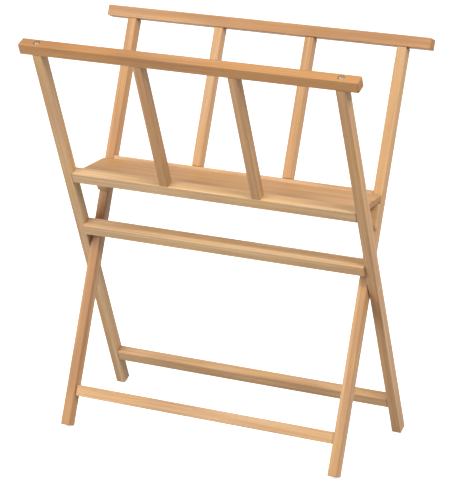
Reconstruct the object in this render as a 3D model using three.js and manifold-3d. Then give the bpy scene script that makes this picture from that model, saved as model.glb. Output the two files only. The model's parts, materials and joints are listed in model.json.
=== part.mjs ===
// A wooden art-print browsing rack: two crossed ladder frames joined by a pivot on each
// side, with a shelf board between them that swings up on two butt hinges.
// Millimetres. X runs along the rails, Y to the back, Z up. The origin is on the floor,
// under the middle of the rack.
import * as THREE from 'three';
import { mergeVertices } from 'three/addons/utils/BufferGeometryUtils.js';
import Module from 'manifold-3d';

// ---- driving dimensions -------------------------------------------------------------
const TOP_RAIL_LENGTH = 820;
const LEAN = THREE.MathUtils.degToRad(21.7); // each frame leans this far off upright
const LEG_WIDTH = 23; // along X
const STOCK_DEPTH = 27; // legs and rails, across the frame
const RAIL_HEIGHT = 26; // rails and stretchers, along the legs
const LEG_ABOVE_PIVOT = 540;
const LEG_BELOW_PIVOT = 430;
const OUTER_LEG_FACE = 378; // outside of the outer legs, from the middle
const LEG_SPACING = 2; // room for a washer between an outer and an inner leg
const STRUT_X = 115; // middle of each strut
const STRUT_WIDTH = 22;
const STRUT_DEPTH = 24;
const FRONT_SHELF_RAIL_Z = 190; // undersides, measured up the legs from the pivot
const BACK_SHELF_RAIL_Z = 187;
const MID_STRETCHER_Z = 43;
const MID_STRETCHER_DEPTH = 33;
const REAR_STRETCHER_Z = -355;
const FRONT_STRETCHER_Z = -359;
const REAR_STRETCHER_DEPTH = 25;
const FRONT_STRETCHER_DEPTH = 18;
const BOARD_TOP = 601; // height of the shelf surface above the floor
const BOARD_THICKNESS = 15;
const BOARD_DEPTH = 114;
const CLEAT_DEPTH = 14;
const CLEAT_BOTTOM_Z = 127;
const CLEAT_TOP_Z = 183.8;
const CLEAT_CHAMFER = 7;
const DOWEL_RADIUS = 4;
const STRUT_DOWEL_RADIUS = 3.5;
const BOLT_HEAD_RADIUS = 7;
const PIVOT_BOLT_RADIUS = 4;
const PLUG_RADIUS = 8;
const HINGE_X = 230;
const HINGE_LENGTH = 50;
const HINGE_LEAF = 1.2; // thickness
const KNUCKLE_RADIUS = 2.4;
const HINGE_PIN_RADIUS = 1.1;
const FIT = 0.3; // gap between two pieces that meet
const CLEARANCE = 0.2; // round a dowel, a bolt or a pin in its hole
const ROUND_SIDES = 16;

// ---- sizes that follow ----------------------------------------------------------------
const HALF_STOCK = STOCK_DEPTH / 2;
const OUTER_LEG_INSIDE = OUTER_LEG_FACE - LEG_WIDTH;
const INNER_LEG_FACE = OUTER_LEG_INSIDE - LEG_SPACING;
const INNER_LEG_INSIDE = INNER_LEG_FACE - LEG_WIDTH;
const PIVOT_HEIGHT = LEG_BELOW_PIVOT * Math.cos(LEAN) + HALF_STOCK * Math.sin(LEAN);
const RAIL_TOP = LEG_ABOVE_PIVOT + FIT + RAIL_HEIGHT;
const FRONT_STRUT_Y = (STRUT_DEPTH - STOCK_DEPTH) / 2; // flush with the front of the rails
const MID_STRETCHER_Y = (STOCK_DEPTH - MID_STRETCHER_DEPTH) / 2; // flush with the back of the legs
const CLEAT_FRONT = -HALF_STOCK - FIT - CLEAT_DEPTH;
const SIDES = Object.entries({ left: -1, right: 1 });

const wood = (color) => new THREE.MeshStandardMaterial({ color, roughness: 0.55 });
const steel = (color) => new THREE.MeshStandardMaterial({ color, roughness: 0.35, metalness: 0.9 });
const BEECH = '#cfa071';
const PALE_BEECH = '#d8ad7c';
const ZINC = '#b9b6ae';
const GREY_STEEL = '#8d8a84';

// ---- solids ---------------------------------------------------------------------------
const wasm = await Module();
wasm.setup();

function toSolid(geometry) {
  const bare = geometry.clone();
  bare.deleteAttribute('normal');
  bare.deleteAttribute('uv');
  const merged = mergeVertices(bare);
  return new wasm.Manifold(new wasm.Mesh({
    numProp: 3,
    vertProperties: new Float32Array(merged.attributes.position.array),
    triVerts: new Uint32Array(merged.index.array),
  }));
}

function toGeometry(solid) {
  const mesh = solid.getMesh();
  const geometry = new THREE.BufferGeometry();
  geometry.setAttribute('position', new THREE.BufferAttribute(mesh.vertProperties, 3));
  geometry.setIndex(new THREE.BufferAttribute(mesh.triVerts, 1));
  geometry.computeVertexNormals();
  return geometry;
}

// Two distances from the middle, on the side that sign picks, as [lower, higher].
const span = (sign, near, far) => (sign > 0 ? [near, far] : [-far, -near]);

function boxBetween([x0, x1], [y0, y1], [z0, z1]) {
  const box = new THREE.BoxGeometry(x1 - x0, y1 - y0, z1 - z0);
  return box.translate((x0 + x1) / 2, (y0 + y1) / 2, (z0 + z1) / 2);
}

// Turns a cylinder, which three.js makes along +Y, so that it runs along the axis named.
const ALONG = {
  x: new THREE.Matrix4().makeRotationZ(-Math.PI / 2),
  y: new THREE.Matrix4(),
  z: new THREE.Matrix4().makeRotationX(Math.PI / 2),
};

// Round lengths on one axis, each [radius, from, to], joined into one solid and swollen
// on every side by grow.
function turned(axis, at, lengths, grow = 0) {
  const pieces = lengths.map(([radius, from, to]) => {
    const length = to - from + 2 * grow;
    const rod = new THREE.CylinderGeometry(radius + grow, radius + grow, length, ROUND_SIDES);
    rod.translate(0, (from + to) / 2, 0);
    if (axis !== 'y') rod.applyMatrix4(ALONG[axis]);
    return toSolid(rod.translate(...at));
  });
  return pieces.reduce((whole, piece) => whole.add(piece));
}

// ---- fasteners ------------------------------------------------------------------------
// Each has an axis, a point on it and its lengths. A pocket is an open recess over the
// head, which is cut in the wood but isn't part of the fastener.
const dowel = (name, axis, at, ends, radius) => ({
  name, axis, at, lengths: [[radius, ...ends]], material: wood(PALE_BEECH),
});

// One dowel at each end of a cross bar, half in the bar and half in the leg.
function crossBarDowels(name, legInside, underside) {
  const middle = [0, 0, underside + RAIL_HEIGHT / 2];
  return SIDES.map(([side, sign]) => dowel(`${name}_dowel_${side}`, 'x', middle,
    span(sign, legInside - 16, legInside + 14), DOWEL_RADIUS));
}

// One dowel at the top of each strut and one at its foot.
function strutDowels(name, y, foot) {
  return SIDES.flatMap(([side, sign]) => [['top', LEG_ABOVE_PIVOT], ['foot', foot]].map(
    ([end, joint]) => dowel(`${name}_${end}_dowel_${side}`, 'z', [sign * STRUT_X, y, 0],
      [joint - 14, joint + 14], STRUT_DOWEL_RADIUS),
  ));
}

// A flat-headed bolt goes down through the top rail into the end of each leg.
function topRailBolts(name, legFace) {
  const underHead = RAIL_TOP - 2.8;
  return SIDES.map(([side, sign]) => ({
    name: `${name}_${side}`,
    axis: 'z',
    at: [sign * (legFace - LEG_WIDTH / 2), 0, 0],
    lengths: [[3, underHead - 60, underHead + 1], [BOLT_HEAD_RADIUS, underHead, RAIL_TOP - 0.4]],
    pocket: [BOLT_HEAD_RADIUS, underHead, RAIL_TOP + 1],
    material: steel(ZINC),
  }));
}

// The pivot bolt's head is let into the outer leg and covered by a wooden plug. Its shank
// turns in a sleeve in the inner leg.
function pivotFasteners([side, sign]) {
  const headInside = OUTER_LEG_FACE - 9.6;
  const headOutside = headInside + 5;
  return [
    {
      name: `pivot_bolt_${side}`,
      axis: 'x',
      at: [0, 0, 0],
      lengths: [[PIVOT_BOLT_RADIUS, ...span(sign, INNER_LEG_INSIDE + 5, headInside + 1)],
        [BOLT_HEAD_RADIUS, ...span(sign, headInside, headOutside)]],
      material: steel(ZINC),
    },
    {
      ...dowel(`pivot_plug_${side}`, 'x', [0, 0, 0],
        span(sign, headOutside + 2 * CLEARANCE, OUTER_LEG_FACE - CLEARANCE), PLUG_RADIUS),
      pocket: [PLUG_RADIUS, ...span(sign, headOutside, OUTER_LEG_FACE + 1)],
    },
  ];
}

// Goes in from the back of the leg, so that it doesn't show on the cleat.
function cleatScrew([side, sign]) {
  return {
    name: `cleat_screw_${side}`,
    axis: 'y',
    at: [sign * (INNER_LEG_FACE - LEG_WIDTH / 2), 0, CLEAT_TOP_Z - 20],
    lengths: [[2, CLEAT_FRONT + 4, HALF_STOCK - 2], [4, HALF_STOCK - 2.6, HALF_STOCK - 0.4]],
    pocket: [4, HALF_STOCK - 2.6, HALF_STOCK + 1],
    material: steel(ZINC),
  };
}

// ---- pieces ---------------------------------------------------------------------------
// Each mesh has its own origin in the middle of its shape.
function addMesh(group, name, geometry, material) {
  geometry.computeBoundingBox();
  const middle = geometry.boundingBox.getCenter(new THREE.Vector3());
  const mesh = new THREE.Mesh(geometry.translate(-middle.x, -middle.y, -middle.z), material);
  mesh.name = name;
  mesh.position.copy(middle);
  group.add(mesh);
}

// A wooden piece, drilled for every fastener of its frame that passes through it.
function addTimber(frame, name, shape, color = BEECH) {
  let solid = toSolid(shape);
  for (const { axis, at, lengths, pocket } of frame.fasteners) {
    const hole = turned(axis, at, pocket ? [...lengths, pocket] : lengths, CLEARANCE);
    solid = solid.subtract(hole);
  }
  addMesh(frame.group, name, toGeometry(solid), wood(color));
}

function addFasteners(frame) {
  for (const { name, axis, at, lengths, material } of frame.fasteners) {
    if (name) addMesh(frame.group, name, toGeometry(turned(axis, at, lengths)), material);
  }
}

// A steel ring round the pivot bolt.
function addRing(frame, name, ends, radius) {
  const bore = [PIVOT_BOLT_RADIUS + FIT, ends[0] - 1, ends[1] + 1];
  const ring = turned('x', [0, 0, 0], [[radius, ...ends]]).subtract(turned('x', [0, 0, 0], [bore]));
  addMesh(frame.group, name, toGeometry(ring), steel(GREY_STEEL));
}

// A bar across the frame, its underside at a height up the legs.
function crossBar(halfLength, depth, underside, y = 0) {
  return boxBetween([-halfLength, halfLength], [y - depth / 2, y + depth / 2],
    [underside, underside + RAIL_HEIGHT]);
}

// The pieces that both frames have: legs, top rail and struts.
function addLadder(frame, names, legFace, strutY, strutFoot) {
  for (const [side, sign] of SIDES) {
    addTimber(frame, `${names.leg}_${side}`, boxBetween(span(sign, legFace - LEG_WIDTH, legFace),
      [-HALF_STOCK, HALF_STOCK], [-LEG_BELOW_PIVOT, LEG_ABOVE_PIVOT]));
    addTimber(frame, `${names.strut}_${side}`, boxBetween(
      span(sign, STRUT_X - STRUT_WIDTH / 2, STRUT_X + STRUT_WIDTH / 2),
      [strutY - STRUT_DEPTH / 2, strutY + STRUT_DEPTH / 2],
      [strutFoot + FIT, LEG_ABOVE_PIVOT],
    ));
  }
  addTimber(frame, names.rail, crossBar(TOP_RAIL_LENGTH / 2, STOCK_DEPTH, LEG_ABOVE_PIVOT + FIT));
}

// A frame's pieces are placed with the pivot at the origin and the legs along Z.
function makeFrame(lean, fasteners) {
  const group = new THREE.Group();
  group.position.z = PIVOT_HEIGHT;
  group.rotation.x = lean;
  return { group, fasteners };
}

// ---- outer frame: its top is at the front and its feet are at the back -------------------
const frontStrutFoot = FRONT_SHELF_RAIL_Z + RAIL_HEIGHT;
const outer = makeFrame(LEAN, [
  ...topRailBolts('front_rail_bolt', OUTER_LEG_FACE),
  ...strutDowels('front_strut', FRONT_STRUT_Y, frontStrutFoot),
  ...crossBarDowels('front_shelf_rail', OUTER_LEG_INSIDE, FRONT_SHELF_RAIL_Z),
  ...crossBarDowels('mid_stretcher', OUTER_LEG_INSIDE, MID_STRETCHER_Z),
  ...crossBarDowels('rear_stretcher', OUTER_LEG_INSIDE, REAR_STRETCHER_Z),
  ...SIDES.flatMap(pivotFasteners),
]);
const outerSpan = OUTER_LEG_INSIDE - FIT;
addLadder(outer, { leg: 'outer_leg', strut: 'front_strut', rail: 'front_top_rail' },
  OUTER_LEG_FACE, FRONT_STRUT_Y, frontStrutFoot);
addTimber(outer, 'front_shelf_rail', crossBar(outerSpan, STOCK_DEPTH, FRONT_SHELF_RAIL_Z), PALE_BEECH);
addTimber(outer, 'mid_stretcher',
  crossBar(outerSpan, MID_STRETCHER_DEPTH, MID_STRETCHER_Z, MID_STRETCHER_Y));
addTimber(outer, 'rear_stretcher', crossBar(outerSpan, REAR_STRETCHER_DEPTH, REAR_STRETCHER_Z));
addFasteners(outer);
for (const [side, sign] of SIDES) {
  addRing(outer, `pivot_washer_${side}`,
    span(sign, INNER_LEG_FACE + CLEARANCE, OUTER_LEG_INSIDE - CLEARANCE), 9);
}

// ---- inner frame: its top is at the back and its feet are at the front -------------------
const backStrutFoot = BACK_SHELF_RAIL_Z + RAIL_HEIGHT;
const SLEEVE_RADIUS = 6;
const sleeveEnds = (sign) => span(sign, INNER_LEG_INSIDE + 4, INNER_LEG_FACE - CLEARANCE);
const sleeveHole = ([, sign]) => ({
  axis: 'x',
  at: [0, 0, 0],
  lengths: [[SLEEVE_RADIUS, ...span(sign, INNER_LEG_INSIDE + 4, INNER_LEG_FACE + 1)]],
});
const inner = makeFrame(-LEAN, [
  ...topRailBolts('back_rail_bolt', INNER_LEG_FACE),
  ...strutDowels('back_strut', 0, backStrutFoot),
  ...crossBarDowels('back_shelf_rail', INNER_LEG_INSIDE, BACK_SHELF_RAIL_Z),
  ...crossBarDowels('front_stretcher', INNER_LEG_INSIDE, FRONT_STRETCHER_Z),
  ...SIDES.map(cleatScrew),
  ...SIDES.map(sleeveHole),
]);
const innerSpan = INNER_LEG_INSIDE - FIT;
addLadder(inner, { leg: 'inner_leg', strut: 'back_strut', rail: 'back_top_rail' },
  INNER_LEG_FACE, 0, backStrutFoot);
addTimber(inner, 'back_shelf_rail', crossBar(innerSpan, STOCK_DEPTH, BACK_SHELF_RAIL_Z));
addTimber(inner, 'front_stretcher', crossBar(innerSpan, FRONT_STRETCHER_DEPTH, FRONT_STRETCHER_Z));

// The cleats carry the board's back corners. The lower front corner of each is cut off.
const cleatOutline = new THREE.Shape([
  new THREE.Vector2(-HALF_STOCK - FIT, CLEAT_BOTTOM_Z),
  new THREE.Vector2(-HALF_STOCK - FIT, CLEAT_TOP_Z),
  new THREE.Vector2(CLEAT_FRONT, CLEAT_TOP_Z),
  new THREE.Vector2(CLEAT_FRONT, CLEAT_BOTTOM_Z + CLEAT_CHAMFER),
  new THREE.Vector2(CLEAT_FRONT + CLEAT_CHAMFER, CLEAT_BOTTOM_Z),
]);
for (const [side, sign] of SIDES) {
  const cleat = new THREE.ExtrudeGeometry(cleatOutline, { depth: LEG_WIDTH, bevelEnabled: false });
  // The outline's axes become Y and Z, so the thickness runs along X.
  cleat.rotateX(Math.PI / 2).rotateZ(Math.PI / 2);
  cleat.translate(span(sign, INNER_LEG_INSIDE, INNER_LEG_FACE)[0], 0, 0);
  addTimber(inner, `shelf_cleat_${side}`, cleat);
}
addFasteners(inner);
for (const [side, sign] of SIDES) {
  addRing(inner, `pivot_sleeve_${side}`, sleeveEnds(sign), SLEEVE_RADIUS);
}

// ---- shelf board ----------------------------------------------------------------------
const shelf = { group: new THREE.Group(), fasteners: [] };
addTimber(shelf, 'shelf_board', boxBetween([-INNER_LEG_FACE, INNER_LEG_FACE],
  [-BOARD_DEPTH / 2, BOARD_DEPTH / 2], [BOARD_TOP - BOARD_THICKNESS, BOARD_TOP]), PALE_BEECH);

// ---- butt hinges: one leaf on top of the board, one on the back of the front shelf rail --
const HINGE_STAND_OFF = KNUCKLE_RADIUS + FIT; // from the axis to the face a leaf lies on
const BOARD_LEAF_REACH = 16; // from the axis
const RAIL_LEAF_REACH = 6.4; // stays below the eased top edge of the rail
const KNUCKLE_GAP = 0.5;
const RAIL_LEAF_KNUCKLES = [[-HINGE_LENGTH / 2, -8.5], [8.5, HINGE_LENGTH / 2]];
const BOARD_LEAF_KNUCKLES = [[-8.5 + KNUCKLE_GAP, 8.5 - KNUCKLE_GAP]];

// A leaf that lies on a face below its axis and reaches out along +Y. The knuckles fill
// the spans given along X.
function hingeLeaf(width, knuckles) {
  const ends = [-HINGE_LENGTH / 2, HINGE_LENGTH / 2];
  const bottom = FIT / 2 - HINGE_STAND_OFF;
  const thickness = [bottom, bottom + HINGE_LEAF];
  let leaf = toSolid(boxBetween(ends, [HINGE_STAND_OFF, width], thickness));
  for (const knuckle of knuckles) {
    leaf = leaf.add(turned('x', [0, 0, 0], [[KNUCKLE_RADIUS, ...knuckle]]));
    leaf = leaf.add(toSolid(boxBetween(knuckle, [0, width / 2], thickness)));
  }
  const bore = [HINGE_PIN_RADIUS + CLEARANCE, ends[0] - 1, ends[1] + 1];
  return toGeometry(leaf.subtract(turned('x', [0, 0, 0], [bore])));
}

// The hinge axis stands off the rail's back face as far as it stands off the board.
const hingeZ = BOARD_TOP + HINGE_STAND_OFF;
const hingeDepth = HALF_STOCK + HINGE_STAND_OFF;
const hingeUpLeg = (hingeZ - PIVOT_HEIGHT - hingeDepth * Math.sin(LEAN)) / Math.cos(LEAN);
const hingeY = hingeDepth * Math.cos(LEAN) - hingeUpLeg * Math.sin(LEAN);
const hinges = new THREE.Group();
for (const [side, sign] of SIDES) {
  const hinge = new THREE.Group();
  hinge.position.set(sign * HINGE_X, hingeY, hingeZ);
  addMesh(hinge, `hinge_board_leaf_${side}`, hingeLeaf(BOARD_LEAF_REACH, BOARD_LEAF_KNUCKLES),
    steel(GREY_STEEL));
  addMesh(hinge, `hinge_pin_${side}`,
    toGeometry(turned('x', [0, 0, 0], [[HINGE_PIN_RADIUS, -HINGE_LENGTH / 2, HINGE_LENGTH / 2]])),
    steel(ZINC));
  // Turned end for end and tipped up, so that it lies on the rail and reaches up its back.
  const upright = new THREE.Group();
  upright.rotation.set(Math.PI / 2 + LEAN, Math.PI, 0);
  addMesh(upright, `hinge_rail_leaf_${side}`, hingeLeaf(RAIL_LEAF_REACH, RAIL_LEAF_KNUCKLES),
    steel(GREY_STEEL));
  hinge.add(upright);
  hinges.add(hinge);
}

const rack = new THREE.Group();
rack.add(outer.group, inner.group, shelf.group, hinges);
export default rack;
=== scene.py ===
# %% [markdown]
# # A folding print browser rack in beech
#
# Two ladder frames cross like scissors and turn on a bolt at each side. Between them hangs
# a shelf board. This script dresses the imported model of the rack: fifteen planed beech
# bars, a board, two cleats and some small steel hardware.
#
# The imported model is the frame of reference. It says where every piece is, so the script
# only asks it for places and never moves anything of it. Lengths are in metres.

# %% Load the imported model
import json
import math
import random

import bmesh
import bpy
from mathutils import Matrix, Vector


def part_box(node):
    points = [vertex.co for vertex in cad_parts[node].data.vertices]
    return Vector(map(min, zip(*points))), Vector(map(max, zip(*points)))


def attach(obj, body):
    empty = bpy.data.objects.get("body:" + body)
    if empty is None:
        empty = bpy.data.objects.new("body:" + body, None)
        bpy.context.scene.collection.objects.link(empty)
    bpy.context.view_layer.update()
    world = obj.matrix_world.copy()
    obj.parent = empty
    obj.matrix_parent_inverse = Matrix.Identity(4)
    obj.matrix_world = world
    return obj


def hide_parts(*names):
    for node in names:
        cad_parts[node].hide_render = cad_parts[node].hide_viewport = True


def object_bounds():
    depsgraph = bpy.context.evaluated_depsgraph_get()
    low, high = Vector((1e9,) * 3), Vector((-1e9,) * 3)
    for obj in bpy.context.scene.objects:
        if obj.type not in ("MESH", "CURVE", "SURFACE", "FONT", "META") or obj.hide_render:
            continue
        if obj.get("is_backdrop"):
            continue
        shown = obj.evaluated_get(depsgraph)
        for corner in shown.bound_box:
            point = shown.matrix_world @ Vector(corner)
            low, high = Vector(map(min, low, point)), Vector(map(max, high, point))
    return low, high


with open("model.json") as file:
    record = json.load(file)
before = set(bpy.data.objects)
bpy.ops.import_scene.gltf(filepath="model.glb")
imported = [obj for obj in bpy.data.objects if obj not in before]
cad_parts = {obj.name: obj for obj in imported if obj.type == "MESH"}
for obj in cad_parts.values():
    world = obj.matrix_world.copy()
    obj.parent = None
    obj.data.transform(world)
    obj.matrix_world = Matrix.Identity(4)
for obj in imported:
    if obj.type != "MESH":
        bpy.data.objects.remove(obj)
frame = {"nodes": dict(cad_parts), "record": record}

packed_box = [list(corner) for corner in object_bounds()]
print("overall size in mm:", [round(1000 * (b - a)) for a, b in zip(*packed_box)])

# %% [markdown]
# ## Looking at the rack
#
# The rack is seen from its front right, from a little above head height. A long lens some
# way off keeps the uprights nearly parallel. There is no sensor shift, so the rack stays in
# the middle of the picture when the camera is moved round it.
#
# The light is that of a white studio: a broad lamp high on the right does most of the work,
# so that the undersides and what is below the shelf fall into soft shade. A wider, weaker
# lamp on the left and a room that is pale above and dim below fill in the rest.

# %% Camera
CAMERA_AZIMUTH = math.radians(26.307)
CAMERA_ELEVATION = math.radians(17.981)
CAMERA_ROLL = math.radians(-0.12)
CAMERA_PLACE = Vector((2.1840, -4.4303, 2.0641))
CAMERA_LENS = 181.81  # millimetres, for a sensor 36 mm wide

camera_data = bpy.data.cameras.new("camera")
camera_data.sensor_fit = "HORIZONTAL"
camera_data.sensor_width = 36.0
camera_data.lens = CAMERA_LENS
camera = bpy.data.objects.new("camera", camera_data)
bpy.context.scene.collection.objects.link(camera)
camera.matrix_world = (
    Matrix.Translation(CAMERA_PLACE)
    @ Matrix.Rotation(CAMERA_AZIMUTH, 4, "Z")
    @ Matrix.Rotation(math.pi / 2 - CAMERA_ELEVATION, 4, "X")
    @ Matrix.Rotation(CAMERA_ROLL, 4, "Z")
)
bpy.context.scene.camera = camera
print("camera at", [round(v, 2) for v in camera.matrix_world.translation])


# %% Lights
def area_light(name, place, target, size, power, colour):
    """A square lamp that faces a target."""
    lamp = bpy.data.lights.new(name, "AREA")
    lamp.size = size
    lamp.energy = power
    lamp.color = colour
    holder = bpy.data.objects.new(name, lamp)
    bpy.context.scene.collection.objects.link(holder)
    holder.location = place
    holder.rotation_euler = (Vector(target) - Vector(place)).to_track_quat("-Z", "Y").to_euler()
    return holder


rack_middle = (0.0, 0.0, 0.5)
area_light("key", (3.0, -1.7, 3.9), rack_middle, 1.3, 158.0, (1.0, 0.985, 0.96))
area_light("fill", (-2.6, -3.0, 1.7), rack_middle, 2.2, 104.0, (0.98, 0.99, 1.0))
bpy.context.scene.view_settings.view_transform = "Standard"

# %% [markdown]
# ## Writing a finish as arithmetic
#
# A finish in Blender is a graph of nodes. Wiring one by hand hides the idea, which is
# usually a short formula, such as "dark where the streak noise is high". So one small class
# wraps the output of a node, and adding or multiplying two of them adds the Math node.
# Python looks for the reflected forms when the number comes first, as in `1 - mask`.


# %% A value that can be reckoned with
class Wire:
    """One value in a graph of nodes. Arithmetic on it adds Math nodes."""

    def __init__(self, graph, socket):
        self.graph = graph
        self.socket = socket

    def _math(self, operation, first, second=0.0):
        return self.graph.node("ShaderNodeMath", {"operation": operation}, {0: first, 1: second})

    def __add__(self, other):
        return self._math("ADD", self, other)

    def __sub__(self, other):
        return self._math("SUBTRACT", self, other)

    def __mul__(self, other):
        return self._math("MULTIPLY", self, other)

    def __rsub__(self, other):
        return self._math("SUBTRACT", other, self)

    def __abs__(self):
        return self._math("ABSOLUTE", self)

    __radd__ = __add__
    __rmul__ = __mul__

    def sine(self):
        return self._math("SINE", self)

    def between(self, low, high):
        """0 below low, 1 above high, and smooth between them."""
        smooth = {"interpolation_type": "SMOOTHSTEP"}
        return self.graph.node("ShaderNodeMapRange", smooth, {0: self, 1: low, 2: high})


print("a wire adds, takes away and multiplies")

# %% [markdown]
# Every other node comes from one method, which takes the node's type, its settings and what
# goes into its sockets. The room light and the finishes share it, so it has a class of its
# own. A finish adds the few nodes that wood and steel are made of: a place on the piece, a
# noise and a bump.


# %% Graphs and finishes
# The Mix node has sockets for numbers, vectors and colours. These are its colour ones.
MIX_FACTOR, MIX_FIRST, MIX_SECOND = 0, 6, 7
MIX_RESULT = 2


class Graph:
    """A tree of nodes and the means to add to it."""

    def __init__(self, tree):
        self.tree = tree

    def node(self, kind, settings, values, output=0):
        """Adds one node: its settings first, then the values or wires of its sockets."""
        made = self.tree.nodes.new(kind)
        for setting, value in settings.items():
            setattr(made, setting, value)
        for socket, value in values.items():
            self.join(made.inputs[socket], value)
        return Wire(self, made.outputs[output])

    def join(self, socket, value):
        """Feeds a socket with a wire or with a plain value."""
        if isinstance(value, Wire):
            self.tree.links.new(value.socket, socket)
        else:
            socket.default_value = value

    def mix(self, factor, first, second):
        """A colour between two others."""
        values = {MIX_FACTOR: factor, MIX_FIRST: first, MIX_SECOND: second}
        return self.node("ShaderNodeMix", {"data_type": "RGBA"}, values, MIX_RESULT)


class Finish(Graph):
    """The graph of a new material."""

    def __init__(self, name):
        self.material = bpy.data.materials.new(name)
        self.material.use_nodes = True
        super().__init__(self.material.node_tree)
        self.shader = self.tree.nodes["Principled BSDF"]

    def surface(self, **values):
        """Sets the shader's own sockets. An underscore stands for a space."""
        for name, value in values.items():
            self.join(self.shader.inputs[name.replace("_", " ")], value)

    def place(self, scale, shift=(0.0, 0.0, 0.0), turn=(0.0, 0.0, 0.0)):
        """The point on the piece, turned, stretched and shifted."""
        point = self.node("ShaderNodeTexCoord", {}, {}, "Object")
        values = {"Vector": point, "Location": shift, "Rotation": turn, "Scale": scale}
        return self.node("ShaderNodeMapping", {}, values)

    def noise(self, where, detail=2.0, roughness=0.5):
        values = {"Vector": where, "Scale": 1.0, "Detail": detail, "Roughness": roughness}
        return self.node("ShaderNodeTexNoise", {}, values)

    def bump(self, height, depth):
        """Turns a height into a dented surface. The depth is in metres."""
        values = {"Height": height, "Distance": depth, "Strength": 1.0}
        return self.node("ShaderNodeBump", {}, values)


print("a finish is ready to be written")

# %% [markdown]
# The room around the rack is a sky of two greys. Its direction comes from the world's own
# coordinates, and its height above the horizon picks the grey.

# %% Room light
ROOM_BELOW = (0.11, 0.11, 0.11, 1.0)
ROOM_ABOVE = (0.80, 0.80, 0.80, 1.0)

world = bpy.data.worlds.new("pale_room")
world.use_nodes = True
room = Graph(world.node_tree)
direction = room.node("ShaderNodeTexCoord", {}, {}, "Generated")
height = room.node("ShaderNodeSeparateXYZ", {}, {0: direction}, "Z")
grey = room.mix(height.between(-0.4, 0.5), ROOM_BELOW, ROOM_ABOVE)
room.join(world.node_tree.nodes["Background"].inputs["Color"], grey)
bpy.context.scene.world = world
print("room light set")

# %% [markdown]
# ## Beech
#
# Beech is a plain, even wood. Close up it has three marks: soft growth lines that run along
# the piece, wide streaks of warmer and cooler tan, and thousands of little brown flecks, a
# few millimetres long, where the rays of the tree are cut. All three come from noise that
# is stretched along the grain, so that nothing repeats and no picture is needed. Growth
# lines are rings round the heart of the tree, and each bar is sawn from its own place, so
# every bar gets its own finish with its own distance from the heart.
#
# A sawn end cuts the fibres across, and it drinks more oil: ends are darker and duller.
#
# Colours that are the same all over a piece are worked out in Python, before any node.

# %% Beech colours
PALE_BEECH = (0.622, 0.405, 0.228)
DEEP_BEECH = (0.478, 0.258, 0.112)
FLECK_BROWN = (0.300, 0.140, 0.060, 1.0)


def part_way(first, second, share):
    """A colour part of the way from one to another."""
    return tuple(a + (b - a) * share for a, b in zip(first, second))


def tinted(colour, red, green, blue):
    """A colour with its channels scaled, as Blender's four numbers."""
    return (colour[0] * red, colour[1] * green, colour[2] * blue, 1.0)


print("pale beech:", PALE_BEECH, "deep beech:", DEEP_BEECH)

# %% [markdown]
# The noises below are all stretched along X, which is the grain. The three numbers of each
# place are how many times it repeats in a metre along the grain and across it: streaks are
# about 16 mm wide and growth lines 4 mm, while fibres and flecks are close to 1 mm.

# %% A beech finish for one piece
RING_SPACING = 0.0052
RING_WANDER = 0.016
GRAIN_DEPTH = 0.00006


def beech(name, seed, depth=0.5, turn=(0.0, 0.0, 0.0), figure=1.0):
    """Oiled beech with its grain along local X, once turned.

    Depth is 0 for pale and 1 for deep, and may go a little past either. Figure says how
    strongly the streaks show.
    """
    chance = random.Random(seed)
    shift = (chance.uniform(0, 50), chance.uniform(0, 50), chance.uniform(0, 50))
    wood = Finish(name)
    base = part_way(PALE_BEECH, DEEP_BEECH, depth)

    streaks = wood.noise(wood.place((1.7, 62, 62), shift, turn), 3.0, 0.60)
    lines = wood.noise(wood.place((3.5, 260, 260), shift, turn), 2.0, 0.55)
    patches = wood.noise(wood.place((4.5, 14, 14), shift, turn), 2.0)
    fibres = wood.noise(wood.place((18, 900, 900), shift, turn), 2.0)
    fleck_noise = wood.noise(wood.place((210, 1100, 1100), shift, turn), 1.0)

    bend = wood.noise(wood.place((3.0, 12, 12), shift, turn), 1.0)
    heart = (0.0, chance.uniform(0.03, 0.07), chance.uniform(-0.04, 0.04))
    from_heart = wood.place((1, 1, 1), heart, turn)
    flatten = {0: from_heart, 1: (0, 1, 1)}
    cross = wood.node("ShaderNodeVectorMath", {"operation": "MULTIPLY"}, flatten)
    radius = wood.node("ShaderNodeVectorMath", {"operation": "LENGTH"}, {0: cross}, "Value")
    turns = (radius + bend * RING_WANDER) * (2 * math.pi / RING_SPACING)
    rings = turns.sine() * 0.5 + 0.5

    normal = wood.node("ShaderNodeTexCoord", {}, {}, "Normal")
    if any(turn):
        turned = {"Vector": normal, "Rotation": turn}
        normal = wood.node("ShaderNodeMapping", {"vector_type": "NORMAL"}, turned)
    along = wood.node("ShaderNodeSeparateXYZ", {}, {0: normal}, "X")
    sawn_end = abs(along).between(0.75, 0.98)
    flecks = fleck_noise.between(0.60, 0.74)

    streaked = (streaks.between(0.35, 0.65) - 0.5) * figure + 0.5
    tan = wood.mix(streaked, tinted(base, 1.15, 1.20, 1.20), tinted(base, 0.81, 0.72, 0.60))
    tan = wood.mix(patches.between(0.40, 0.66) * 0.65, tan, tinted(base, 1.08, 1.02, 0.76))
    tan = wood.mix(rings * rings * 0.28, tan, tinted(base, 0.84, 0.72, 0.60))
    lined = lines.between(0.48, 0.70) * (0.50 * figure)
    tan = wood.mix(lined, tan, tinted(base, 0.76, 0.60, 0.44))
    tan = wood.mix(flecks * 0.30 + fibres.between(0.45, 0.8) * 0.12, tan, FLECK_BROWN)
    tan = wood.mix(sawn_end * 0.45, tan, FLECK_BROWN)

    wood.surface(
        Base_Color=tan,
        Roughness=0.50 + streaks * 0.10 + sawn_end * 0.20 - flecks * 0.06,
        Normal=wood.bump(fibres * 0.6 + rings * 0.2 - flecks * 0.5, GRAIN_DEPTH),
    )
    return wood.material


print("beech is written")

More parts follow.
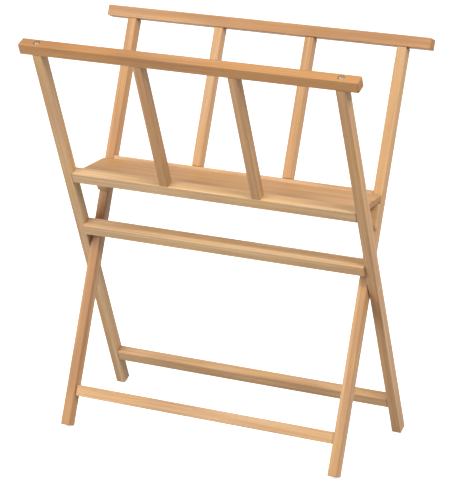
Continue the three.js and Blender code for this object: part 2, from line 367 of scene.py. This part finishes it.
# %% [markdown]
# ## Steel
#
# The bolts, pins and screws are zinc plated, with a faint yellow mottle. The hinge leaves,
# washers and sleeves are plain rolled steel, brushed along their length. One recipe does
# both: a base grey, a mottle, and fine scratches that run along X.


# %% Steel finishes
PALE_ZINC = (0.70, 0.62, 0.48, 1.0)
DARK_ZINC = (0.46, 0.39, 0.29, 1.0)
PALE_STEEL = (0.56, 0.55, 0.54, 1.0)
DARK_STEEL = (0.38, 0.37, 0.36, 1.0)
SCRATCH_DEPTH = 0.00001


def steel(name, seed, light, dark, roughness):
    """Brushed or plated steel, with scratches along local X."""
    chance = random.Random(seed)
    shift = (chance.uniform(0, 9), chance.uniform(0, 9), chance.uniform(0, 9))
    metal = Finish(name)
    mottle = metal.noise(metal.place((260, 260, 260), shift), 3.0)
    scratches = metal.noise(metal.place((120, 3200, 3200), shift), 2.0)
    grey = metal.mix(mottle.between(0.3, 0.7) * 0.7 + scratches * 0.3, light, dark)
    metal.surface(
        Base_Color=grey,
        Metallic=1.0,
        Roughness=roughness + mottle * 0.16 + scratches * 0.08,
        Normal=metal.bump(scratches, SCRATCH_DEPTH),
    )
    return metal.material


zinc = steel("zinc_plate", 3, PALE_ZINC, DARK_ZINC, 0.30)
rolled_steel = steel("rolled_steel", 4, PALE_STEEL, DARK_STEEL, 0.34)
print("steels:", zinc.name, rolled_steel.name)

# %% [markdown]
# ## Where each bar is
#
# Both frames lean, one forward and one back, by the same angle. A leg's middle lies above
# the pivot, a little way up the leg, so the line from the pivot to it gives the lean. Once
# a node's corners are turned upright by that angle, they give the bar's true length, width
# and depth, which its upright box hides.

# %% Measure the lean
joint_place = {j["name"]: Vector(j["pos_m"]) for j in frame["record"]["behaviour"]["joints"]}
pivot = joint_place["frame_fold"]


def corners_of(node):
    """The lowest and highest corner of a node."""
    return [Vector(corner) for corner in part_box(node)]


def middle_of(node):
    """The middle of a node's box."""
    low, high = corners_of(node)
    return (low + high) / 2


up_leg = middle_of("outer_leg_left") - pivot
LEAN = math.atan2(-up_leg.y, up_leg.z)
print("each frame leans", round(math.degrees(LEAN), 2), "degrees")


# %% Measure a bar as if it stood upright
def upright_box(node, lean):
    """A node's lowest and highest corner in a frame that has been stood upright at the pivot."""
    straighten = Matrix.Rotation(-lean, 4, "X") @ Matrix.Translation(-pivot)
    corners = [straighten @ vertex.co for vertex in frame["nodes"][node].data.vertices]
    low = Vector([min(corner[i] for corner in corners) for i in range(3)])
    high = Vector([max(corner[i] for corner in corners) for i in range(3)])
    return low, high


def leaned(lean):
    """Carries a place from the frame that was stood upright back to the real one."""
    return Matrix.Translation(pivot) @ Matrix.Rotation(lean, 4, "X")


low, high = upright_box("outer_leg_left", LEAN)
print("an outer leg measures", [round(1000 * v, 1) for v in high - low], "mm")

# %% [markdown]
# ## A planed bar
#
# Every bar starts as planed stock with its long edges eased by sandpaper, and its ends
# sawn square with a stronger bevel. It could be a cube with a Bevel modifier, but one
# modifier gives one width everywhere. Here the mesh is built in two steps: first the edges
# round the ends are bevelled, then the long ones, so each has its own width. Grain follows
# the length, so each bar is modelled along its own X and then turned into place.

# %% Bar meshes
EASED_EDGE = 0.0019
END_BEVEL = 0.0020
RAIL_END_BEVEL = 0.0040


def finished_mesh(mesh, name):
    """Turns mesh work into mesh data and frees the work."""
    data = bpy.data.meshes.new(name)
    mesh.to_mesh(data)
    mesh.free()
    return data


def planed_bar(name, size, end_bevel=END_BEVEL, eased=EASED_EDGE):
    """A bar of (length, width, depth) centred on its origin, with its length along X."""
    mesh = bmesh.new()
    bmesh.ops.create_cube(mesh, size=1.0)
    bmesh.ops.scale(mesh, vec=size, verts=mesh.verts)

    def run(edge):
        return abs(edge.verts[0].co.x - edge.verts[1].co.x)

    round_ends = [edge for edge in mesh.edges if run(edge) < 1e-6]
    rounding = {"segments": 3, "profile": 0.5, "affect": "EDGES"}
    bmesh.ops.bevel(mesh, geom=round_ends, offset=end_bevel, **rounding)
    # The long edges now stop short of the ends by the width of that bevel.
    reach = size[0] / 2 - 1.5 * end_bevel
    along = [
        edge for edge in mesh.edges
        if abs(edge.verts[0].co.x) < reach + end_bevel and run(edge) > reach
    ]
    bmesh.ops.bevel(mesh, geom=along, offset=eased, **rounding)
    return finished_mesh(mesh, name)


sample = planed_bar("sample", (1.0, 0.1, 0.1))
print("a planed bar has", len(sample.polygons), "faces")
bpy.data.meshes.remove(sample)

# %% [markdown]
# A mesh becomes a piece when it has a place, a finish, a body to ride on and the nodes that
# it stands for. Weighted normals keep the planed faces flat while the eased edges turn
# softly between them.


# %% From a mesh to a piece
def smooth_shading(piece, angle=35.0):
    """Smooths the eased edges and keeps the planed faces flat."""
    piece.data.shade_smooth()
    weighted = piece.modifiers.new("flat_faces", "WEIGHTED_NORMAL")
    weighted.keep_sharp = True
    piece.data.set_sharp_from_angle(angle=math.radians(angle))


def add_piece(name, data, place, material, body, nodes):
    """Puts a mesh in place, gives it its finish and lets it ride on its body."""
    piece = bpy.data.objects.new(name, data)
    bpy.context.scene.collection.objects.link(piece)
    piece.matrix_world = place
    data.materials.append(material)
    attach(piece, body)
    if nodes:
        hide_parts(*nodes)
    return piece


# %% [markdown]
# The upright bars, which are the legs and struts, have their grain up the leg. The cross
# bars have it along the rack. A quarter turn about Y stands a bar's X axis upright, and
# the lean about X then tips it into its frame. A table says how deep the colour of each bar
# is. That depth is partly the bar's own tone, as no two bars are sawn from the same plank,
# and partly painted light and shade: some bars are set paler or deeper to stand in for light
# that their faces get or miss, as the front shelf rail is set paler for its dim front face.

# %% Bars and their tones
FRAMES = {"outer_frame": LEAN, "inner_frame": -LEAN}
UPRIGHTS = {
    "outer_frame": ["outer_leg_left", "outer_leg_right", "front_strut_left", "front_strut_right"],
    "inner_frame": ["inner_leg_left", "inner_leg_right", "back_strut_left", "back_strut_right"],
}
CROSS_BARS = {
    "outer_frame": ["front_top_rail", "front_shelf_rail", "mid_stretcher", "rear_stretcher"],
    "inner_frame": ["back_top_rail", "back_shelf_rail", "front_stretcher"],
}
# Each depth is the bar's own tone mixed with painted light and shade: a bar is set paler or
# deeper where its faces catch less or more light.
DEPTH_AND_PAINTED_LIGHT = {
    "front_top_rail": 1.2, "front_shelf_rail": -0.2,
    "mid_stretcher": -0.3, "back_top_rail": 0.95,
    "outer_leg_left": -0.05, "outer_leg_right": 0.55,
    "inner_leg_left": 1.05, "inner_leg_right": 0.6,
    "front_strut_left": 0.6, "front_strut_right": 0.5,
    "back_strut_left": 0.7, "back_strut_right": 0.7,
}
USUAL_DEPTH = 0.5
print("bars with a tone of their own:", len(DEPTH_AND_PAINTED_LIGHT))


# %% Lay out the bars
def lay_bar(node, body, upright, seed):
    """Builds the bar that a node stands for and returns it."""
    lean = FRAMES[body]
    low, high = upright_box(node, lean)
    size = high - low
    if upright:
        size = Vector((size.z, size.y, size.x))
    place = leaned(lean) @ Matrix.Translation((low + high) / 2)
    if upright:
        place = place @ Matrix.Rotation(-math.pi / 2, 4, "Y")
    finish = beech("beech_" + node, seed, DEPTH_AND_PAINTED_LIGHT.get(node, USUAL_DEPTH))
    end_bevel = RAIL_END_BEVEL if node.endswith("top_rail") else END_BEVEL
    data = planed_bar(node, size, end_bevel)
    return add_piece("wood_" + node, data, place, finish, body, [node])


FIRST_SEED = 11
bars = {}
for body in FRAMES:
    for node in UPRIGHTS[body]:
        bars[node] = lay_bar(node, body, True, FIRST_SEED + len(bars))
    for node in CROSS_BARS[body]:
        bars[node] = lay_bar(node, body, False, FIRST_SEED + len(bars))
print(len(bars), "bars laid out")

# %% [markdown]
# ## Holes for the bolt heads and the plugs
#
# A flat bit leaves a round, flat-bottomed recess for each bolt head in the top rails, and
# for the plug that covers each pivot bolt. A Boolean modifier cuts them exactly, and is
# applied at once so that the finished mesh can be looked at and exported. The cutters are
# thrown away afterwards.

# %% A cut that is applied at once
def cut_away(piece, tool_mesh, place):
    """Takes a mesh's shape out of a piece."""
    tool = bpy.data.objects.new("tool", tool_mesh)
    bpy.context.scene.collection.objects.link(tool)
    tool.matrix_world = place
    bpy.context.view_layer.update()
    cut = piece.modifiers.new("cut", "BOOLEAN")
    cut.object = tool
    cut.operation = "DIFFERENCE"
    cut.solver = "EXACT"
    evaluated = piece.evaluated_get(bpy.context.evaluated_depsgraph_get())
    shaped = bpy.data.meshes.new_from_object(evaluated)
    piece.modifiers.remove(cut)
    piece.data = shaped
    bpy.data.objects.remove(tool)


def cylinder_mesh(name, radius, length, sides=48):
    """A cylinder along Z, centred."""
    mesh = bmesh.new()
    bmesh.ops.create_cone(
        mesh, cap_ends=True, segments=sides, radius1=radius, radius2=radius, depth=length
    )
    return finished_mesh(mesh, name)


def cut_round(piece, radius, depth, place):
    """Cuts a round recess. The place is on the surface, with Z pointing out of it."""
    cut_away(piece, cylinder_mesh("cutter", radius, 2 * depth), place)


def head_place(node, lean, out):
    """The middle of the outer end of a fastener, with Z along out."""
    low, high = upright_box(node, lean)
    at = (low + high) / 2
    axis = max(range(3), key=lambda i: abs(out[i]))
    at[axis] = high[axis] if out[axis] > 0 else low[axis]
    turn = Vector(out).to_track_quat("Z", "X").to_matrix().to_4x4()
    return leaned(lean) @ Matrix.Translation(at) @ turn


print("a head faces out of its bar")

# %% Cut the recesses for the bolt heads
RECESS_RADIUS = 0.0078
RECESS_FLOOR = 0.0003  # room under the head
HEAD_SINK = 0.0004
HEAD_HEIGHT = 0.0024

rail_bolts = {}
for body, rail in (("outer_frame", "front_top_rail"), ("inner_frame", "back_top_rail")):
    for side in ("left", "right"):
        node = rail.split("_")[0] + "_rail_bolt_" + side
        rail_bolts[node] = (body, head_place(node, FRAMES[body], (0, 0, 1)))
        surface = rail_bolts[node][1] @ Matrix.Translation((0, 0, HEAD_SINK))
        cut_round(bars[rail], RECESS_RADIUS, HEAD_SINK + HEAD_HEIGHT + RECESS_FLOOR, surface)
print("recesses in the top rails:", len(rail_bolts))

# %% Cut the holes for the plugs
PLUG_HOLE_RADIUS = 0.0083
PLUG_HOLE_DEPTH = 0.0045

plugs = {}
for side, out in (("left", (-1, 0, 0)), ("right", (1, 0, 0))):
    node = "pivot_plug_" + side
    plugs[node] = head_place(node, LEAN, out)
    cut_round(bars["outer_leg_" + side], PLUG_HOLE_RADIUS, PLUG_HOLE_DEPTH, plugs[node])

for bar in bars.values():
    smooth_shading(bar)
print("plug holes in the outer legs:", len(plugs))

# %% [markdown]
# ## Rail bolts
#
# A furniture bolt has a wide, flat head, a little domed, with a hexagon socket. The profile
# is spun round the axis, which keeps the rim crisp, and the points on the socket's wall are
# then pulled out to a hexagon. The shank goes down into the leg and is never seen, so it
# stays plain.


# %% Spin a profile
def spun(name, profile, sides=40):
    """Spins (radius, height) points about Z. The first and last lie on the axis."""
    mesh = bmesh.new()
    rings = []
    for radius, height in profile:
        if radius == 0.0:
            rings.append([mesh.verts.new((0.0, 0.0, height))])
            continue
        around = [2 * math.pi * k / sides for k in range(sides)]
        spots = [(radius * math.cos(a), radius * math.sin(a), height) for a in around]
        rings.append([mesh.verts.new(spot) for spot in spots])
    for lower, upper in zip(rings, rings[1:]):
        for k in range(sides):
            after = (k + 1) % sides
            edge = [lower[k % len(lower)], lower[after % len(lower)]]
            edge += [upper[after % len(upper)], upper[k % len(upper)]]
            mesh.faces.new(list(dict.fromkeys(edge)))
    bmesh.ops.recalc_face_normals(mesh, faces=mesh.faces)
    return finished_mesh(mesh, name)


print("a profile can be spun")

# %% Bolts
HEAD_RADIUS = 0.0060
SOCKET_RADIUS = 0.0028
SHANK_RADIUS = 0.003
TURNED_ANGLE = 40.0  # degrees, above which an edge of a turned piece stays sharp


def bolt_mesh(name, head_radius, head_height, shank_radius, length, socket):
    """A flat-headed bolt. Its top is at the origin and its shank hangs below."""
    profile = [
        (0.0, -length), (shank_radius * 0.8, -length), (shank_radius, -length + 0.0008),
        (shank_radius, -head_height), (head_radius - 0.0003, -head_height),
        (head_radius, -head_height + 0.0003), (head_radius, -0.0008),
        (head_radius - 0.0002, -0.0005), (head_radius - 0.0006, -0.0003),
        (head_radius * 0.6, -0.0001), (socket * 1.25, 0.0), (socket, -0.0002),
        (socket, -head_height * 0.7), (0.0, -head_height * 0.8),
    ]
    data = spun(name, profile)
    # The socket's wall is pulled to a hexagon.
    for vertex in data.vertices:
        out = math.hypot(vertex.co.x, vertex.co.y)
        if abs(out - socket) < 1e-6 and vertex.co.z > -head_height:
            angle = math.atan2(vertex.co.y, vertex.co.x) % (math.pi / 3) - math.pi / 6
            flat = math.cos(math.pi / 6) / math.cos(angle)
            vertex.co.x *= flat
            vertex.co.y *= flat
    return data


for node, (body, place) in rail_bolts.items():
    low, high = upright_box(node, FRAMES[body])
    length = high.z - low.z
    bolt = bolt_mesh(node, HEAD_RADIUS, HEAD_HEIGHT, SHANK_RADIUS, length, SOCKET_RADIUS)
    piece = add_piece("steel_" + node, bolt, place, zinc, body, [node])
    smooth_shading(piece, TURNED_ANGLE)
print("bolts:", sorted(rail_bolts))

# %% [markdown]
# ## Plugs over the pivot bolts
#
# A face-grain plug is cut from the same wood, glued in with its grain in line with the
# leg's, and sanded level, so it almost vanishes: only a hairline round it shows. Its mesh
# is a spun disc, turned so that its own X, the grain, runs up the leg.

# %% Plugs
PLUG_RADIUS = 0.0081
PLUG_DEPTH = 0.0040
PLUG_EDGE = 0.0002
PLUG_SEED = 60

for number, (node, surface) in enumerate(plugs.items()):
    disc = spun(node, [
        (0.0, -PLUG_DEPTH), (PLUG_RADIUS, -PLUG_DEPTH), (PLUG_RADIUS, -PLUG_EDGE),
        (PLUG_RADIUS - PLUG_EDGE, 0.0), (PLUG_RADIUS * 0.5, 0.0), (0.0, 0.0),
    ])
    grain = surface.to_3x3().inverted() @ (Matrix.Rotation(LEAN, 3, "X") @ Vector((0, 0, 1)))
    turn = Matrix.Rotation(math.atan2(grain.y, grain.x), 4, "Z")
    finish = beech("beech_" + node, PLUG_SEED + number, USUAL_DEPTH)
    piece = add_piece(
        "wood_" + node, disc, surface @ turn, finish, "outer_frame", [node]
    )
    smooth_shading(piece)
print("plugs:", sorted(plugs))

# %% [markdown]
# ## The shelf board
#
# The board is one wide piece, thinner than the bars, with its edges eased. It lies level,
# so it needs no turning. A wide board shows more of the tree than a bar does, and its
# growth lines spread out across it.

# %% Board
BOARD_EDGE = 0.0012

low, high = corners_of("shelf_board")
board_mesh = planed_bar("shelf_board", high - low, BOARD_EDGE, BOARD_EDGE)
board_finish = beech("beech_shelf_board", 41, 0.85, figure=0.55)
board = add_piece(
    "wood_shelf_board", board_mesh, Matrix.Translation((low + high) / 2), board_finish,
    "shelf", ["shelf_board"],
)
smooth_shading(board)
print("the board measures", [round(1000 * v) for v in high - low], "mm")

# %% [markdown]
# ## Cleats
#
# Two short cleats on the inner legs carry the board's back corners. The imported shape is
# right, screw hole and cut corner included, so the node itself stays. A Bevel modifier
# eases its edges, and its finish turns the grain to run up the leg: first the lean is taken
# off, and then a quarter turn lays the leg's direction along X.

# %% Dress the nodes that stay
QUARTER = math.pi / 2


def dress(node, material, bevel):
    """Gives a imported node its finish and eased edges."""
    kept = frame["nodes"][node]
    if not kept.data.materials:
        kept.data.materials.append(material)
    for index in range(len(kept.data.materials)):
        kept.data.materials[index] = material
    if bevel:
        eased = kept.modifiers.new("eased", "BEVEL")
        eased.width = bevel
        eased.segments = 2
        eased.limit_method = "ANGLE"
        eased.angle_limit = math.radians(50)


CLEAT_EDGE = 0.0008
grain_up_inner_leg = beech("beech_cleat", 71, USUAL_DEPTH, (LEAN, QUARTER, 0.0))
for side in ("left", "right"):
    dress("shelf_cleat_" + side, grain_up_inner_leg, CLEAT_EDGE)
print("cleats dressed")

# %% [markdown]
# ## Dowels and pivot parts
#
# Dowels show only as a sliver in the joint lines. They are straight beech rod. Those in the
# cross bars lie along X, and those of the struts stand up the leg, so they need the same
# turn as a cleat. The pivot bolt, washer and sleeve are plain turned steel.

# %% Dowels, bolts, washers and sleeves
DOWEL_DEPTH = 0.2
TURNED_EDGE = 0.0002

cross_dowel = beech("beech_dowel", 81, DOWEL_DEPTH)
strut_dowel = {
    "front": beech("beech_front_strut_dowel", 82, DOWEL_DEPTH, (-LEAN, QUARTER, 0.0)),
    "back": beech("beech_back_strut_dowel", 83, DOWEL_DEPTH, (LEAN, QUARTER, 0.0)),
}
dressed = []
for node in sorted(frame["nodes"]):
    if "strut" in node and "dowel" in node:
        dress(node, strut_dowel[node.split("_")[0]], 0.0)
    elif "dowel" in node:
        dress(node, cross_dowel, 0.0)
    elif node.startswith("pivot_bolt") or node.startswith("cleat_screw"):
        dress(node, zinc, TURNED_EDGE)
    elif node.startswith(("pivot_washer", "pivot_sleeve")):
        dress(node, rolled_steel, TURNED_EDGE)
    else:
        continue
    dressed.append(node)
print("dressed:", len(dressed))

# %% [markdown]
# ## Hinges
#
# How a real board is held is hidden behind the front shelf rail, so hinges of a usual kind
# are a guess. Two butt hinges join the board to the back of that rail. Each has a leaf on top
# of the board, a narrow leaf up the rail, and a pin through the knuckles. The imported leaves
# have the right shape and get a bevel. What they lack is their screws: small countersunk
# heads, flush in the leaf, each with a cross cut in it.


# %% A screw head with a cross
CROSS_DEPTH = 0.0007
BLADE_EDGE = 0.00002


def screw_mesh(name, radius):
    """A countersunk screw head. Its top is at the origin."""
    return spun(name, [
        (0.0, -0.0022), (radius * 0.4, -0.0022), (radius * 0.5, -0.0012), (radius, -0.0002),
        (radius, -0.0001), (radius - 0.0001, 0.0), (radius * 0.5, 0.0), (0.0, 0.0),
    ], 24)


def cross_cut(piece, radius):
    """Cuts the two slots of the cross."""
    slot = (radius * 1.3, radius * 0.26, 2 * CROSS_DEPTH)
    for turn in (0.0, QUARTER):
        blade = planed_bar("blade", slot, BLADE_EDGE, BLADE_EDGE)
        cut_away(piece, blade, piece.matrix_world @ Matrix.Rotation(turn, 4, "Z"))


print("a screw head can be made")

# %% [markdown]
# Each screw's head lies in the open face of its leaf. On the board's leaf that is the top.
# On the rail's leaf it is the face toward the back, so there the head is tipped over by a
# quarter turn, less the lean. Every head is also turned by its own amount, as a hand would
# leave it.

# %% Hinge leaves, screws and pins
LEAF_EDGE = 0.00025
PIN_EDGE = 0.0003
SCREW_SINK = 0.00128  # from the hinge's axis, a hair inside the face of a leaf
BOARD_SCREW_INSET = 0.0052  # from the far edge of the board's leaf
RAIL_SCREW_RISE = 0.0046  # above the axis
LEAF_SCREWS = {
    "board": ("shelf", 0.0021, (-0.017, 0.0, 0.017)),
    "rail": ("outer_frame", 0.0014, (-0.017, 0.017)),
}
hinge_axis = joint_place["shelf_lift"]


def screw_place(leaf, low, high, along, number):
    """Where a leaf's screw sits, with Z out of the leaf."""
    middle = (low.x + high.x) / 2
    if leaf == "board":
        at = Vector((0.0, high.y - BOARD_SCREW_INSET, hinge_axis.z - SCREW_SINK))
        tip = 0.0
    else:
        up_rail = Matrix.Rotation(LEAN, 3, "X") @ Vector((0.0, -SCREW_SINK, RAIL_SCREW_RISE))
        at = hinge_axis + up_rail
        tip = LEAN - QUARTER
    at.x = middle + along
    turn = 0.5 + number
    return Matrix.Translation(at) @ Matrix.Rotation(tip, 4, "X") @ Matrix.Rotation(turn, 4, "Z")


for side in ("left", "right"):
    for leaf, (body, radius, spacing) in LEAF_SCREWS.items():
        node = "hinge_" + leaf + "_leaf_" + side
        dress(node, rolled_steel, LEAF_EDGE)
        low, high = corners_of(node)
        for number, along in enumerate(spacing):
            name = "screw_" + leaf + "_" + side + "_" + str(number)
            head = screw_mesh(node + "_screw", radius)
            place = screw_place(leaf, low, high, along, number)
            screw = add_piece(name, head, place, zinc, body, [])
            cross_cut(screw, radius)
            smooth_shading(screw, TURNED_ANGLE)
    dress("hinge_pin_" + side, zinc, PIN_EDGE)
print("hinges dressed and screwed")

# %% [markdown]
# ## The floor
#
# A plain pale floor, large enough that its edge never shows. A studio's white sweep is lit
# on its own so that it comes out as white as paper. Here a little emission does that. The
# floor is hidden from bounced light, or its glow would wash out the shade under the shelf.

# %% Floor
FLOOR_REACH = 30.0
FLOOR_GLOW = 0.55
DULL_WHITE = (0.94, 0.94, 0.94, 1.0)
BRIGHT_WHITE = (0.96, 0.96, 0.96, 1.0)

signs = ((-1, -1), (1, -1), (1, 1), (-1, 1))
floor_corners = [(x * FLOOR_REACH, y * FLOOR_REACH, 0) for x, y in signs]
floor_mesh = bpy.data.meshes.new("floor")
floor_mesh.from_pydata(floor_corners, [], [(0, 1, 2, 3)])
floor = bpy.data.objects.new("floor", floor_mesh)
bpy.context.scene.collection.objects.link(floor)
pale = Finish("pale_floor")
mottle = pale.noise(pale.place((3, 3, 3)), 3.0)
pale.surface(
    Base_Color=pale.mix(mottle.between(0.3, 0.7), DULL_WHITE, BRIGHT_WHITE),
    Roughness=0.8 + mottle * 0.1,
    Emission_Color=(1.0, 1.0, 1.0, 1.0),
    Emission_Strength=FLOOR_GLOW,
)
floor_mesh.materials.append(pale.material)
floor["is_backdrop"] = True
floor.visible_diffuse = False
print("floor laid")

# %% [markdown]
# ## Last look
#
# The dressed rack has to stay the size of the imported one. Both boxes are measured, and
# how far the top corner has moved is printed.

# %% Compare sizes and finish
dressed_box = [list(corner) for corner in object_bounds()]
grown = [1000 * (b - a) for a, b in zip(packed_box[1], dressed_box[1])]
print("the top corner moved by", [round(v, 2) for v in grown], "mm")
